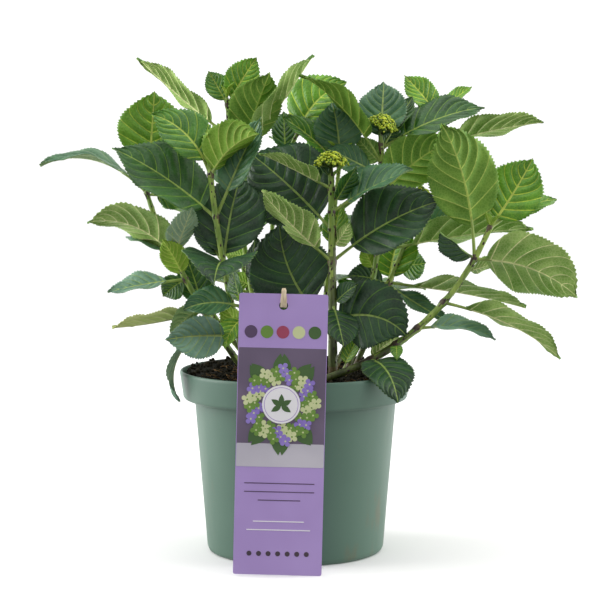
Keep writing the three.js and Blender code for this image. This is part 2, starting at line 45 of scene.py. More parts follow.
# Canes: foot, knee and tip, and the girth at foot and tip. "darkerFoot" is the share of a
# cane, from its foot up, that is painted a darker olive, and "stout" thickens it. Leaf rows:
# place on the cane, turn, rise, droop, roll, length, width as a share of the length, stalk,
# fold and finish. The rows of "leaves" are the part's own, and those of "small" fill out the shrub between
# them.
canes = {
    "left_front": {
        "foot": (-44, -35, 172), "knee": (-71, -42, 296), "tip": (-84, -38, 400), "girth": (3.2, 2.4),
        "leaves": [
            (0.47, -94, 10, 44, -4, 80, 0.92, 6, 20, "deep"),
            (0.47, 64, 76, 22, 20, 84, 0.84, 10, 10, "deep"),
            (0.67, 172, 41, 18, -35, 107, 0.74, 16, 12, "dark"),
            (0.67, 20, 66, 4, 38, 80, 0.52, 28, 20, "slate"),
            (0.87, 163, 68, 56, -45, 72, 0.68, 16, 10, "mid"),
            (0.87, -30, 57, 48, -36, 64, 0.84, 6, 36, "lime"),
        ],
        "small": [
            (0.47, 156, 54, -10, -46, 46, 0.54, 10, 12, "deep"),
        ],
    },
    "left_low": {
        "foot": (-43, -20, 172), "knee": (-90, -28, 242), "tip": (-119, -30, 298), "girth": (3, 2.2),
        "leaves": [
            (0.38, 199, -20, 104, 20, 88, 0.28, 6, 18, "blue"),
            (0.5, 189, -15, -12, 22, 76, 0.46, 15, 20, "straw"),
            (0.5, 130, 66, 10, -30, 50, 0.74, 8, 12, "dark"),
            (0.52, 212, -20, 40, 75, 40, 0.6, 4, 10, "slate"),
            (0.76, 185, -5, 10, -23, 58, 0.62, 19, 15, "blue"),
            (0.76, -150, 62, 10, 60, 40, 0.66, 7, 14, "bright"),
            (0.98, 191, 48, 61, 30, 88, 0.68, 8, 12, "pale"),
            (0.98, -54, 58, 4, -6, 50, 0.62, 8, 12, "blue"),
            (0.98, 150, 26, 24, -10, 50, 0.56, 10, 12, "blue"),
        ],
        "small": [
            (0.76, 152, -26, 20, -103, 29, 0.88, 3, 14, "dark"),
        ],
    },
    "front_low": {
        "foot": (-30, -42, 172), "knee": (-42, -56, 214), "tip": (-52, -60, 250), "girth": (2.8, 2.2),
        "leaves": [
            (0.56, 194, 7, 16, -92, 58, 0.8, 26, 30, "blue"),
            (0.84, 207, -33, 55, -19, 34, 0.84, 4, 12, "bright"),
            (0.98, 184, 16, 44, -50, 48, 0.68, 10, 14, "slate"),
        ],
        "small": [
            (0.98, 130, 69, 3, -94, 34, 0.7, 6, 12, "dark"),
            (0.5, 165, 48, -8, 145, 40, 0.69, 9, 12, "bright"),
        ],
    },
    "far_left": {
        "foot": (-34, 30, 172), "knee": (-112, 45, 272), "tip": (-151, 45, 358), "girth": (2.8, 2.2),
        "leaves": [
            (0.98, 64, 80, -2, 34, 72, 0.96, 32, 6, "lime"),
            (0.98, 186, 47, 76, -8, 92, 0.52, 27, 12, "slate"),
        ],
        "small": [
            (0.97, 15, -7, -8, 131, 40, 0.68, 10, 14, "mid"),
        ],
    },
    "back_left": {
        "foot": (-27, 8, 172), "knee": (-54, 20, 321), "tip": (-68, 12, 450), "girth": (3, 1.6),
        "leaves": [
            (0.97, 156, 60, 4, -60, 34, 0.7, 6, 14, "mid"),
            (0.97, 14, 60, 6, 70, 48, 0.7, 8, 12, "bright"),
            (0.84, 175, 38, -6, 30, 98, 0.4, 24, 14, "pale"),
            (0.7, 5, 56, 0, -16, 108, 0.6, 34, 14, "pale"),
            (0.7, -26, 70, 4, -45, 72, 0.74, 36, 8, "mid"),
        ],
        "small": [
            (0.4, 158, 2, 2, 100, 21, 0.78, 2, 14, "lime"),
            (0.3, 165, 20, 9, 96, 22, 0.82, 2, 14, "lime"),
            (0.3, -62, 84, 15, -156, 45, 0.69, 6, 12, "deep"),
        ],
    },
    "back_centre": {
        "foot": (-6, 45, 172), "knee": (-24, 55, 312), "tip": (5, 55, 420), "girth": (2.6, 1.8),
        "leaves": [
            (0.97, 9, 68, 52, 45, 67, 0.92, 8, 12, "bright"),
            (0.83, 95, 68, 12, 0, 44, 0.6, 12, 14, "dark"),
        ],
    },
    "centre_back": {
        "foot": (23, 25, 172), "knee": (35, 28, 298), "tip": (45, 25, 393), "girth": (2.6, 1.8),
        "leaves": [
            (0.97, 122, 86, 24, -26, 52, 0.95, 8, 10, "slate"),
            (0.93, 190, 49, 20, -36, 60, 0.74, 16, 14, "mid"),
        ],
    },
    "centre": {
        "foot": (37, -25, 172), "knee": (36, -30, 290), "tip": (35, -26, 376), "girth": (4.3, 2.8),
        "darkerFoot": 0.55,
        "flower": {"radius": 17, "height": 17, "lean": (0, 0, 1), "stem": 6},
        "leaves": [
            (0.2, 154, 39, -50, -62, 88, 0.92, 35, 8, "deep"),
            (0.24, -16, 20, 70, 77, 74, 0.92, 7, 12, "deep"),
            (0.5, 204, 39, -10, 19, 82, 0.61, 21, 14, "pale"),
            (0.5, -3, 40, 24, 53, 98, 0.76, 25, 12, "deep"),
            (0.66, 155, 45, 12, -62, 98, 0.9, 19, 8, "deep"),
            (0.76, -11, 34, 15, 29, 71, 0.72, 19, 20, "slate"),
            (0.9, 199, 28, 6, 8, 68, 0.55, 14, 16, "pale"),
        ],
        "small": [
            (0.78, -8, 61, 4, 138, 38, 0.64, 10, 14, "dark"),
            (0.56, -31, 50, -6, -104, 28, 0.71, 6, 14, "pale"),
            (0.3, -29, 47, 19, 69, 29, 0.72, 7, 12, "deep"),
            (0.97, -24, 46, 14, 10, 22, 0.6, 4, 16, "mid"),
            (0.96, 152, 52, 10, -12, 20, 0.6, 4, 16, "slate"),
            (0.56, 62, 70, 6, 0, 42, 0.66, 6, 14, "bright"),
            (0.31, -73, -41, 16, -9, 46, 0.84, 8, 10, "deep"),
        ],
    },
    "centre_right": {
        "foot": (49, 5, 172), "knee": (82, 18, 297), "tip": (84, 12, 416), "girth": (3, 2),
        "flower": {"radius": 16, "height": 15, "lean": (0.35, -0.2, 0.9), "stem": 4},
        "leaves": [
            (0.5, 1, 13, 10, -27, 123, 0.54, 35, 14, "pale"),
            (0.74, -7, 49, 26, -63, 80, 0.72, 9, 10, "mid"),
            (0.81, 184, 30, 8, -56, 48, 0.66, 16, 10, "slate"),
            (0.86, 196, 61, 34, 4, 94, 0.6, 32, 14, "mid"),
            (0.93, 4, 33, 26, 28, 88, 0.68, 24, 12, "dark"),
            (0.95, 82, 76, 22, 0, 60, 0.8, 8, 10, "slate"),
        ],
        "small": [
            (0.42, 171, 68, 3, 91, 24, 0.81, 4, 14, "bright"),
            (0.93, 38, 53, 4, 8, 46, 0.75, 20, 14, "dark"),
            (0.86, 153, 42, -7, 111, 34, 0.74, 6, 14, "dark"),
            (0.93, 37, 52, -2, 78, 32, 0.71, 4, 14, "dark"),
        ],
    },
    "right_low": {
        "foot": (47, 25, 172), "knee": (93, 30, 263), "tip": (126, 22, 351), "girth": (2.8, 2),
        "flower": {"radius": 9, "height": 9, "lean": (0, 0, 1), "stem": 2},
        "leaves": [
            (0.51, -8, -5, 11, -14, 114, 0.56, 26, 14, "pale"),
            (0.51, 48, 76, 14, 16, 56, 0.95, 6, 8, "bright"),
            (0.5, -20, -33, -9, 28, 65, 0.36, 10, 14, "slate"),
        ],
        "small": [
            (0.62, 32, -9, -18, 89, 33, 0.94, 3, 14, "mid"),
            (0.5, 197, 25, 30, -62, 38, 0.72, 7, 14, "deep"),
        ],
    },
    "right_top": {
        "foot": (58, 45, 172), "knee": (109, 50, 302), "tip": (144, 45, 440), "girth": (2.8, 1.8),
        "leaves": [
            (0.86, -5, 18, 12, -27, 94, 0.52, 23, 14, "pale"),
            (0.98, 156, 50, 6, -40, 47, 0.7, 6, 12, "bright"),
            (0.98, 8, 42, 10, 28, 34, 0.66, 11, 14, "bright"),
            (0.56, -5, 23, 18, 55, 47, 0.73, 11, 14, "slate"),
        ],
    },
    "right_arch": {
        "foot": (9, -35, 170), "knee": (119, -42, 226), "tip": (190, -38, 326), "girth": (3.2, 2),
        "darkerFoot": 0.4, "stout": 1.25,
        "leaves": [
            (0.27, -66, 2, 74, 6, 64, 0.76, 11, 8, "deep"),
            (0.39, -90, -10, 60, 0, 20, 0.6, 4, 14, "mid"),
            (0.5, -3, 8, 38, 13, 65, 0.66, 13, 14, "blue"),
            (0.65, -8, -12, 30, -24, 105, 0.5, 22, 14, "pale"),
            (0.86, 208, 87, 31, 65, 107, 0.62, 32, 8, "mid"),
            (0.86, -7, -1, 44, -53, 98, 0.78, 11, 8, "pale"),
            (0.99, 18, 52, -10, 60, 69, 0.82, 12, 10, "bright"),
            (0.99, 20, 34, 32, 30, 54, 0.62, 24, 14, "bright"),
            (0.86, 196, 35, -5, -158, 42, 0.8, 4, 30, "deep"),
        ],
        "small": [
            (0.27, 20, 51, 40, -54, 34, 0.8, 4, 12, "pale"),
            (0.15, 31, 68, 16, 12, 29, 0.75, 10, 12, "bright"),
            (0.8, 24, 16, 6, -48, 31, 0.71, 6, 12, "pale"),
        ],
    },
    "rear_left": {
        "foot": (-20, 52, 172), "knee": (-50, 82, 258), "tip": (-62, 92, 345), "girth": (2.8, 2),
        "leaves": [
            (0.45, 138, 24, 34, 0, 84, 0.66, 22, 12, "dark"),
            (0.45, 196, 30, 30, -10, 60, 0.64, 16, 12, "mid"),
            (0.72, 150, 36, 30, 0, 84, 0.66, 22, 12, "dark"),
            (0.72, 40, 46, 24, 0, 76, 0.66, 20, 12, "mid"),
            (0.98, 100, 52, 26, 0, 78, 0.66, 14, 12, "dark"),
            (0.98, 10, 70, 16, 0, 52, 0.66, 10, 12, "mid"),
        ],
    },
    "rear_centre": {
        "foot": (12, 58, 172), "knee": (14, 92, 262), "tip": (16, 104, 365), "girth": (2.8, 2),
        "leaves": [
            (0.42, 60, 20, 34, 0, 86, 0.66, 22, 12, "dark"),
            (0.42, 142, 26, 34, 0, 62, 0.66, 18, 12, "mid"),
            (0.7, 112, 32, 32, 0, 92, 0.66, 22, 12, "dark"),
            (0.7, 0, 50, 20, 0, 60, 0.66, 16, 12, "dark"),
            (0.98, 64, 50, 28, 0, 80, 0.66, 14, 12, "mid"),
            (0.98, 170, 58, 20, 0, 56, 0.66, 12, 12, "dark"),
        ],
    },
    "rear_right": {
        "foot": (38, 54, 172), "knee": (76, 84, 250), "tip": (104, 94, 338), "girth": (2.8, 2),
        "leaves": [
            (0.45, 90, 18, 34, 0, 84, 0.66, 22, 12, "mid"),
            (0.45, 30, 22, 34, 0, 60, 0.66, 16, 12, "dark"),
            (0.72, 120, 36, 30, 0, 82, 0.66, 20, 12, "dark"),
            (0.72, 20, 44, 26, 0, 70, 0.66, 16, 12, "mid"),
            (0.98, 80, 48, 28, 0, 80, 0.66, 14, 12, "dark"),
            (0.98, 170, 62, 16, 0, 54, 0.66, 10, 12, "mid"),
        ],
    },
}


def tint(red, green, blue):
    # A colour as a screen shows it, 0 to 255, as the light values that a shader takes.
    parts = [part / 255 for part in (red, green, blue)]
    return tuple(p / 12.92 if p <= 0.04045 else ((p + 0.055) / 1.055) ** 2.4 for p in parts) + (1.0,)


class Wire:
    # One socket of a material. Sums on it add Math nodes to that material.
    def __init__(self, material, socket=None):
        self.material = material
        self.socket = socket

    def add(self, kind, settings=None, inputs=None, out=0):
        tree = self.material.node_tree
        node = tree.nodes.new("ShaderNode" + kind)
        for name, value in (settings or {}).items():
            setattr(node, name, value)
        for name, value in (inputs or {}).items():
            if isinstance(value, Wire):
                tree.links.new(value.socket, node.inputs[name])
            else:
                node.inputs[name].default_value = value
        return Wire(self.material, node.outputs[out])

    def into(self, name):
        tree = self.material.node_tree
        tree.links.new(self.socket, tree.nodes["Principled BSDF"].inputs[name])

    def sum(self, operation, first, second):
        return self.add("Math", {"operation": operation}, {0: first, 1: second})

    def __add__(self, other):
        return self.sum("ADD", self, other)

    def __radd__(self, other):
        return self.sum("ADD", other, self)

    def __sub__(self, other):
        return self.sum("SUBTRACT", self, other)

    def __rsub__(self, other):
        return self.sum("SUBTRACT", other, self)

    def __mul__(self, other):
        return self.sum("MULTIPLY", self, other)

    def __rmul__(self, other):
        return self.sum("MULTIPLY", other, self)

    def between(self, low, high):
        span = {"Value": self, "From Min": low, "From Max": high}
        return self.add("MapRange", {"interpolation_type": "SMOOTHSTEP"}, span)

    def mix(self, low, high):
        # This value as a mask between two colours.
        return self.add("Mix", {"data_type": "RGBA"}, {0: self, 6: low, 7: high}, out=2)


def newFinish(name, roughness=0.5, **fixed):
    material = bpy.data.materials.new(name)
    material.use_nodes = True
    shader = material.node_tree.nodes["Principled BSDF"]
    shader.inputs["Roughness"].default_value = roughness
    for socket, value in fixed.items():
        shader.inputs[socket.replace("_", " ")].default_value = value
    return Wire(material)


def noise(wire, scale, detail=3.0, stretch=(1, 1, 1), shift=(0, 0, 0)):
    place = wire.add("TexCoord", out="Object")
    place = wire.add("Mapping", {}, {"Vector": place, "Scale": stretch, "Location": shift})
    return wire.add("TexNoise", {}, {"Vector": place, "Scale": scale, "Detail": detail}, out="Fac")


def cellsOf(wire, scale, feature="DISTANCE_TO_EDGE", stretch=(1, 1, 1)):
    place = wire.add("TexCoord", out="Object")
    place = wire.add("Mapping", {}, {"Vector": place, "Scale": stretch})
    return wire.add("TexVoronoi", {"feature": feature}, {"Vector": place, "Scale": scale}, out="Distance")


def relief(wire, height, strength, distance):
    wire.add("Bump", {}, {"Height": height, "Strength": strength, "Distance": distance}).into("Normal")


# Leaf finishes: two colours of the upper face, the lower face's two, the veins above and
# below, and the roughness of the upper face.
leafPaints = {
    "deep": (
        (15, 45, 23), (27, 66, 33), (88, 120, 56), (106, 138, 68),
        (82, 122, 46), (146, 170, 90), 0.47,
    ),
    "dark": (
        (26, 68, 22), (44, 92, 32), (88, 124, 52), (106, 144, 64),
        (112, 152, 50), (158, 182, 94), 0.41,
    ),
    # This grey-blue green is painted sheen: the soft white light reflected off glossy leaves, laid over
    # their own green.
    "slate": (
        (50, 92, 60), (76, 118, 80), (118, 148, 98), (136, 164, 110),
        (116, 150, 84), (186, 204, 134), 0.38,
    ),
    # This pale blue-green is painted sheen: the soft white light reflected off glossy leaves, laid over
    # their own green.
    "blue": (
        (94, 132, 110), (118, 154, 130), (122, 154, 124), (144, 172, 142),
        (154, 182, 108), (204, 216, 160), 0.38,
    ),
    "mid": (
        (46, 98, 22), (70, 124, 32), (92, 134, 44), (110, 150, 54),
        (158, 190, 58), (182, 204, 94), 0.4,
    ),
    # This yellower green is partly the leaves' own and partly painted light, for leaves lit from behind.
    "bright": (
        (68, 120, 18), (92, 148, 26), (118, 158, 44), (136, 172, 54),
        (190, 214, 66), (192, 212, 94), 0.42,
    ),
    "lime": (
        (80, 128, 24), (98, 146, 32), (96, 138, 34), (116, 156, 46),
        (188, 210, 78), (186, 208, 98), 0.44,
    ),
    "pale": (
        (62, 112, 40), (86, 134, 52), (122, 160, 72), (152, 184, 96),
        (166, 192, 84), (246, 250, 178), 0.44,
    ),
    "straw": (
        (166, 184, 98), (188, 200, 122), (196, 212, 130), (214, 224, 148),
        (196, 202, 118), (206, 208, 146), 0.48,
    ),
}

# Leaf surfaces, in pairs for the upper and the lower face. The clouds, net, puffs, grain
# and patches are scales of their patterns, to the metre.
leafSkin = {
    "clouds": 55, "net": 330, "netShow": (0.1, 0.15), "puffs": 260, "grain": 900, "grainShare": 0.2,
    "bump": (0.4, 0.12), "bumpDepth": 0.0006, "specular": (0.42, 0.3),
    "lowerRough": 0.56, "patches": 160, "roughSpread": 0.12,
    "veinRough": 0.5, "veinSpecular": 0.35, "veinShade": 0.8, "veinGrain": 240, "ribPale": (206, 216, 122),
}


def leafFace(name, low, high, vein, rough, lower):
    wire = newFinish(name, rough, Specular_IOR_Level=leafSkin["specular"][lower])
    clouds = noise(wire, leafSkin["clouds"]).between(0.35, 0.65)
    net = 1 - cellsOf(wire, leafSkin["net"]).between(0.02, 0.16)
    paint = clouds.mix(tint(*low), tint(*high))
    paint = (net * leafSkin["netShow"][lower]).mix(paint, tint(*vein))
    paint.into("Base Color")
    puffs = cellsOf(wire, leafSkin["puffs"]).between(0.0, 0.5)
    puffs = puffs + leafSkin["grainShare"] * noise(wire, leafSkin["grain"], 2.0)
    relief(wire, puffs, leafSkin["bump"][lower], leafSkin["bumpDepth"])
    spread = leafSkin["roughSpread"]
    (rough - spread / 2 + spread * noise(wire, leafSkin["patches"])).into("Roughness")
    return wire.material


def veinFace(name, colour):
    wire = newFinish(name, leafSkin["veinRough"], Specular_IOR_Level=leafSkin["veinSpecular"])
    shade = tuple(part * leafSkin["veinShade"] for part in colour)
    grain = noise(wire, leafSkin["veinGrain"]).between(0.3, 0.7)
    grain.mix(tint(*shade), tint(*colour)).into("Base Color")
    return wire.material


finishes = {}
for tone, (low, high, under, underLight, veinOver, veinUnder, rough) in leafPaints.items():
    rib = tuple(0.5 * (part + pale) for part, pale in zip(veinOver, leafSkin["ribPale"]))
    finishes[tone + "Over"] = leafFace(f"leaf_{tone}_over", low, high, veinOver, rough, False)
    rough = leafSkin["lowerRough"]
    finishes[tone + "Under"] = leafFace(f"leaf_{tone}_under", under, underLight, veinUnder, rough, True)
    finishes[tone + "VeinOver"] = veinFace(f"vein_{tone}_over", veinOver)
    finishes[tone + "Rib"] = veinFace(f"rib_{tone}", rib)
    finishes[tone + "VeinUnder"] = veinFace(f"vein_{tone}_under", veinUnder)

# Stem surfaces: one set of patterns, and each finish's two colours and that of its flecks.
stemSkin = {
    "streaks": 130, "flecks": 200, "fleckShow": 0.6, "grain": 500, "bump": 0.5, "bumpDepth": 0.0005,
    "rough": 0.4, "specular": 0.5,
}
stemPaints = {
    "stem": ("stem_green", (100, 130, 46), (156, 178, 82), (84, 80, 48)),
    # The darker olive painted on the lower share of a cane.
    "stemLow": ("stem_darker_foot", (64, 76, 34), (98, 112, 54), (48, 38, 28)),
    "stalk": ("stalk_green", (120, 144, 58), (150, 172, 84), (110, 128, 60)),
    "wood": ("old_wood", (84, 72, 46), (120, 110, 70), (58, 44, 38)),
    "node": ("node_purple", (52, 34, 36), (92, 78, 46), (38, 26, 30)),
    "twig": ("blossom_twig", (70, 92, 34), (100, 124, 44), (70, 60, 36)),
}
budPaints = {
    "lenticel": ("lenticel_purple", (56, 36, 38)),
    "budGreen": ("bud_green", (150, 176, 34)),
    "budYellow": ("bud_yellow", (204, 214, 60)),
    "budDeep": ("bud_deep", (74, 106, 20)),
}


def stemFinish(name, low, high, mark):
    wire = newFinish(name, stemSkin["rough"], Specular_IOR_Level=stemSkin["specular"])
    streaks = noise(wire, stemSkin["streaks"], 4.0, (1, 1, 0.25)).between(0.35, 0.7)
    flecks = 1 - cellsOf(wire, stemSkin["flecks"], "F1", (1, 1, 0.5)).between(0.1, 0.22)
    paint = streaks.mix(tint(*low), tint(*high))
    (flecks * stemSkin["fleckShow"]).mix(paint, tint(*mark)).into("Base Color")
    grain = noise(wire, stemSkin["grain"], 3.0, (1, 1, 0.3))
    relief(wire, grain, stemSkin["bump"], stemSkin["bumpDepth"])
    return wire.material


for name, paints in stemPaints.items():
    finishes[name] = stemFinish(*paints)
for name, paints in budPaints.items():
    finishes[name] = veinFace(*paints)


class Heap:
    # Gathers closed skins, and turns them into one mesh with the finishes they use.
    def __init__(self, name):
        self.name = name
        self.points = []
        self.faces = []
        self.slots = []
        self.places = []
        self.used = []
        self.count = 0
        self.cells = 0

    def finish(self, name):
        if name not in self.used:
            self.used.append(name)
        return self.used.index(name)

    def skin(self, rings, names, capped=True):
        # rings: rows of points round the skin. names: one finish, or one for each face.
        rings = np.asarray(rings, float)
        rows, around = rings.shape[:2]
        index = self.count + np.arange(rows * around).reshape(rows, around)
        ahead = np.roll(index, -1, axis=1)
        quads = np.stack([index[:-1], ahead[:-1], ahead[1:], index[1:]], -1).reshape(-1, 4)
        self.points.append(rings.reshape(-1, 3))
        self.faces += quads.tolist()
        if isinstance(names, str):
            self.slots += [self.finish(names)] * len(quads)
        else:
            self.slots += [self.finish(name) for row in names for name in row]
        u = np.arange(around + 1) / around
        v = np.arange(rows) / (rows - 1)
        corners = np.stack([
            np.stack(np.meshgrid(u[:-1], v[:-1]), -1), np.stack(np.meshgrid(u[1:], v[:-1]), -1),
            np.stack(np.meshgrid(u[1:], v[1:]), -1), np.stack(np.meshgrid(u[:-1], v[1:]), -1),
        ], 2).reshape(-1, 2)
        self.places.append((self.cells, corners))
        if capped:
            self.faces += [index[0][::-1].tolist(), index[-1].tolist()]
            self.slots += [self.slots[-len(quads)], self.slots[-1]]
            self.places.append((self.cells, np.repeat([[0.5, 0.0], [0.5, 1.0]], around, 0)))
        self.count += rows * around
        self.cells += 1

    def lump(self, centre, axes, name, ball):
        # A small round body: the ball's points stretched along three axes.
        points, faces = ball
        self.points.append(np.asarray(centre) + points @ np.asarray(axes))
        self.faces += (faces + self.count).tolist()
        self.slots += [self.finish(name)] * len(faces)
        flat = points[faces.reshape(-1)][:, :2] * 0.49 + 0.5  # seen from above, in its own cell
        self.places.append((self.cells, flat))
        self.count += len(points)
        self.cells += 1

    def build(self, replaced, smooth=True):
        mesh = bpy.data.meshes.new(self.name)
        mesh.from_pydata((np.concatenate(self.points) * mm).tolist(), [], self.faces)
        for name in self.used:
            mesh.materials.append(finishes[name])
        mesh.polygons.foreach_set("material_index", self.slots)
        mesh.polygons.foreach_set("use_smooth", [smooth] * len(mesh.polygons))
        # Every skin has a cell of its own, with a margin, in the map named OFBake.
        side, margin = math.ceil(math.sqrt(self.cells)), 0.04
        spots = [(np.array([c % side, c // side]) + margin + (1 - 2 * margin) * uv) / side
                 for c, uv in self.places]
        layer = mesh.uv_layers.new(name="OFBake")
        layer.data.foreach_set("uv", np.concatenate(spots).reshape(-1))
        piece = bpy.data.objects.new(self.name, mesh)
        bpy.context.scene.collection.objects.link(piece)
        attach(piece, "root")
        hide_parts(*replaced)
        return piece


def roundBall(cuts):
    # An icosahedron's points and faces, its faces cut in four as often as asked.
    g = (1 + 5 ** 0.5) / 2
    points = [(-1, g, 0), (1, g, 0), (-1, -g, 0), (1, -g, 0), (0, -1, g), (0, 1, g)]
    points += [(0, -1, -g), (0, 1, -g), (g, 0, -1), (g, 0, 1), (-g, 0, -1), (-g, 0, 1)]
    faces = [(0, 11, 5), (0, 5, 1), (0, 1, 7), (0, 7, 10), (0, 10, 11), (1, 5, 9), (5, 11, 4)]
    faces += [(11, 10, 2), (10, 7, 6), (7, 1, 8), (3, 9, 4), (3, 4, 2), (3, 2, 6), (3, 6, 8)]
    faces += [(3, 8, 9), (4, 9, 5), (2, 4, 11), (6, 2, 10), (8, 6, 7), (9, 8, 1)]
    points = [Vector(p).normalized() for p in points]
    for _ in range(cuts):
        middles = {}
        finer = []
        for a, b, c in faces:
            trio = []
            for pair in ((a, b), (b, c), (c, a)):
                key = tuple(sorted(pair))
                if key not in middles:
                    middles[key] = len(points)
                    points.append((points[pair[0]] + points[pair[1]]).normalized())
                trio.append(middles[key])
            finer += [(a, trio[0], trio[2]), (b, trio[1], trio[0]), (c, trio[2], trio[1]), tuple(trio)]
        faces = finer
    return np.array([tuple(p) for p in points]), np.array(faces)


roughBall = roundBall(0)
fineBall = roundBall(1)


def unit(v):
    v = np.asarray(v, float)
    return v / np.linalg.norm(v)


def tube(path, radii, around):
    # Rings round a path. radii: one for each point, or one for each point and direction.
    path = np.asarray(path, float)
    radii = np.asarray(radii, float)
    if radii.ndim == 1:
        radii = np.repeat(radii[:, None], around, 1)
    angle = 2 * np.pi * np.arange(around) / around
    rings = []
    for i, point in enumerate(path):
        along = unit(path[min(i + 1, len(path) - 1)] - path[max(i - 1, 0)])
        across = np.array([0, 1.0, 0]) if abs(along[0]) > 0.9 else np.array([1.0, 0, 0])
        u = unit(across - along * (across @ along))
        v = np.cross(along, u)
        rings.append(point + radii[i][:, None] * (np.cos(angle)[:, None] * u + np.sin(angle)[:, None] * v))
    return np.array(rings)


def canePoint(cane, t):
    foot, knee, tip = (np.array(cane[name], float) for name in ("foot", "knee", "tip"))
    pull = 2 * knee - (foot + tip) / 2
    return (1 - t) ** 2 * foot + 2 * t * (1 - t) * pull + t * t * tip


# The source's leaf outline, in shares of the length: where the body ends and where it is
# widest, how full it is below and above that place, how it is drawn in, and the tip's slope.
# The droop comes late along a leaf by its power.
leafShape = {
    "body": 0.95, "peak": 0.4545, "below": 0.6, "above": 0.72, "tipSlope": 1.5,
    "drawFrom": 0.6, "drawOver": 0.28, "drawIn": 0.1, "droopPower": 1.3, "steps": 80,
}


def halfWidth(s, width):
    u = np.clip(s / leafShape["body"], 1e-6, 1 - 1e-6)
    peak = leafShape["peak"]
    body = (u / peak) ** leafShape["below"] * ((1 - u) / (1 - peak)) ** leafShape["above"]
    drawn = np.clip((s - leafShape["drawFrom"]) / leafShape["drawOver"], 0, 1)
    body = body * (1 - leafShape["drawIn"] * drawn ** 2 * (3 - 2 * drawn))
    return 0.5 * width * np.maximum(body, np.where(s > 0.5, leafShape["tipSlope"] * (1 - s), 0))


class LeafLine:
    # The line of a leaf from the cane to its tip, which bends over more towards the tip.
    def __init__(self, root, row):
        _, turn, rise, droop, roll, length, _, stalk, _ = row
        turn, rise, droop, roll = (math.radians(a) for a in (turn, rise, droop, roll))
        first = np.array([math.cos(rise) * math.cos(turn), math.cos(rise) * math.sin(turn), math.sin(rise)])
        level = np.array([-math.sin(turn), math.cos(turn), 0.0])
        above = np.cross(first, level)
        steps = leafShape["steps"]
        self.whole = stalk + length
        shares = np.linspace(0, 1, steps + 1)
        bend = droop * ((shares[1:] + shares[:-1]) / 2) ** leafShape["droopPower"]
        heads = np.outer(np.cos(bend), first) - np.outer(np.sin(bend), above)
        self.at = np.vstack([root, root + np.cumsum(heads, 0) * self.whole / steps])
        bend = droop * shares ** leafShape["droopPower"]
        face = np.outer(np.cos(bend), above) + np.outer(np.sin(bend), first)
        self.side = level * math.cos(roll) + face * math.sin(roll)
        self.face = face * math.cos(roll) - level * math.sin(roll)
        self.shares = shares * self.whole

    def take(self, distance, rows):
        spots = np.clip(distance, 0, self.whole)
        return np.stack([np.interp(spots, self.shares, rows[:, k]) for k in range(3)], -1)

    def frames(self, distance):
        # Place, sideways direction and upper face's direction at distances along the line.
        return (self.take(distance, rows) for rows in (self.at, self.side, self.face))


# How a blade is built up: where its side veins leave the midrib and how far they sweep on
# towards the tip, the rib and veins, the puffs between them, the teeth, the wave of the
# margin and the thickness. The "grown" values are the length of a leaf with details of full
# size, and the least share of that size.
blade = {
    "veins": (0.05, 0.16, 0.28, 0.41, 0.54, 0.67, 0.8), "sweep": 2.5, "arch": 1.2,
    "across": (1.0, 0.9, 0.76, 0.6, 0.44, 0.28, 0.12, 0.0),
    "midrib": 1.35, "ribTaper": 0.72, "ribRise": 0.5, "ribKeel": 1.25, "ribFade": 0.8, "crease": 0.05,
    "veinWidth": 1.25, "veinEdge": 0.55, "veinRise": 0.3, "veinGrown": (95, 0.25),
    "puff": 0.026, "puffStart": 7, "puffFade": 0.75,
    "tooth": 1.8, "toothStep": 3.4, "toothLean": 0.008, "toothGrown": (140, 0.4),
    "wave": 0.026, "waves": 1.8, "thickness": 0.5, "least": 0.22, "grown": (60, 0),
}


def grown(length, full, least):
    # The size of a leaf's details, as a share of those on a large leaf.
    return min(1.0, least + length / full)


def bladeRows(length):
    # Places along the midrib of the rows of faces, with each row's swell and tooth.
    across = np.array(blade["across"])
    size = grown(length, *blade["veinGrown"])
    half = 0.5 * size * (blade["veinWidth"] * (1 - across) + blade["veinEdge"] * across) / length
    toothStep = blade["toothStep"] * grown(length, *blade["toothGrown"])
    marks = (0.0, *blade["veins"], 1.0)
    rows, swells, teeth = [], [], []
    for start, end in zip(marks[:-1], marks[1:]):
        low = start + half * (start > 0)
        high = end - half * (end < 1)
        margin = length * ((1 - start) ** blade["sweep"] - (1 - end) ** blade["sweep"])
        pairs = max(2, round(margin / toothStep))
        inner = start > 0 and end < 1
        for k in range(2 * pairs + 1):
            share = k / (2 * pairs)
            rows.append(low + (high - low) * share)
            swells.append((1.0 if inner else 0.5) * math.sin(math.pi * share))
            teeth.append(min(1.0, margin / pairs / toothStep) if inner and k % 2 else 0.0)
    return np.clip(rows, 0, 1), np.array(swells), np.array(teeth), across


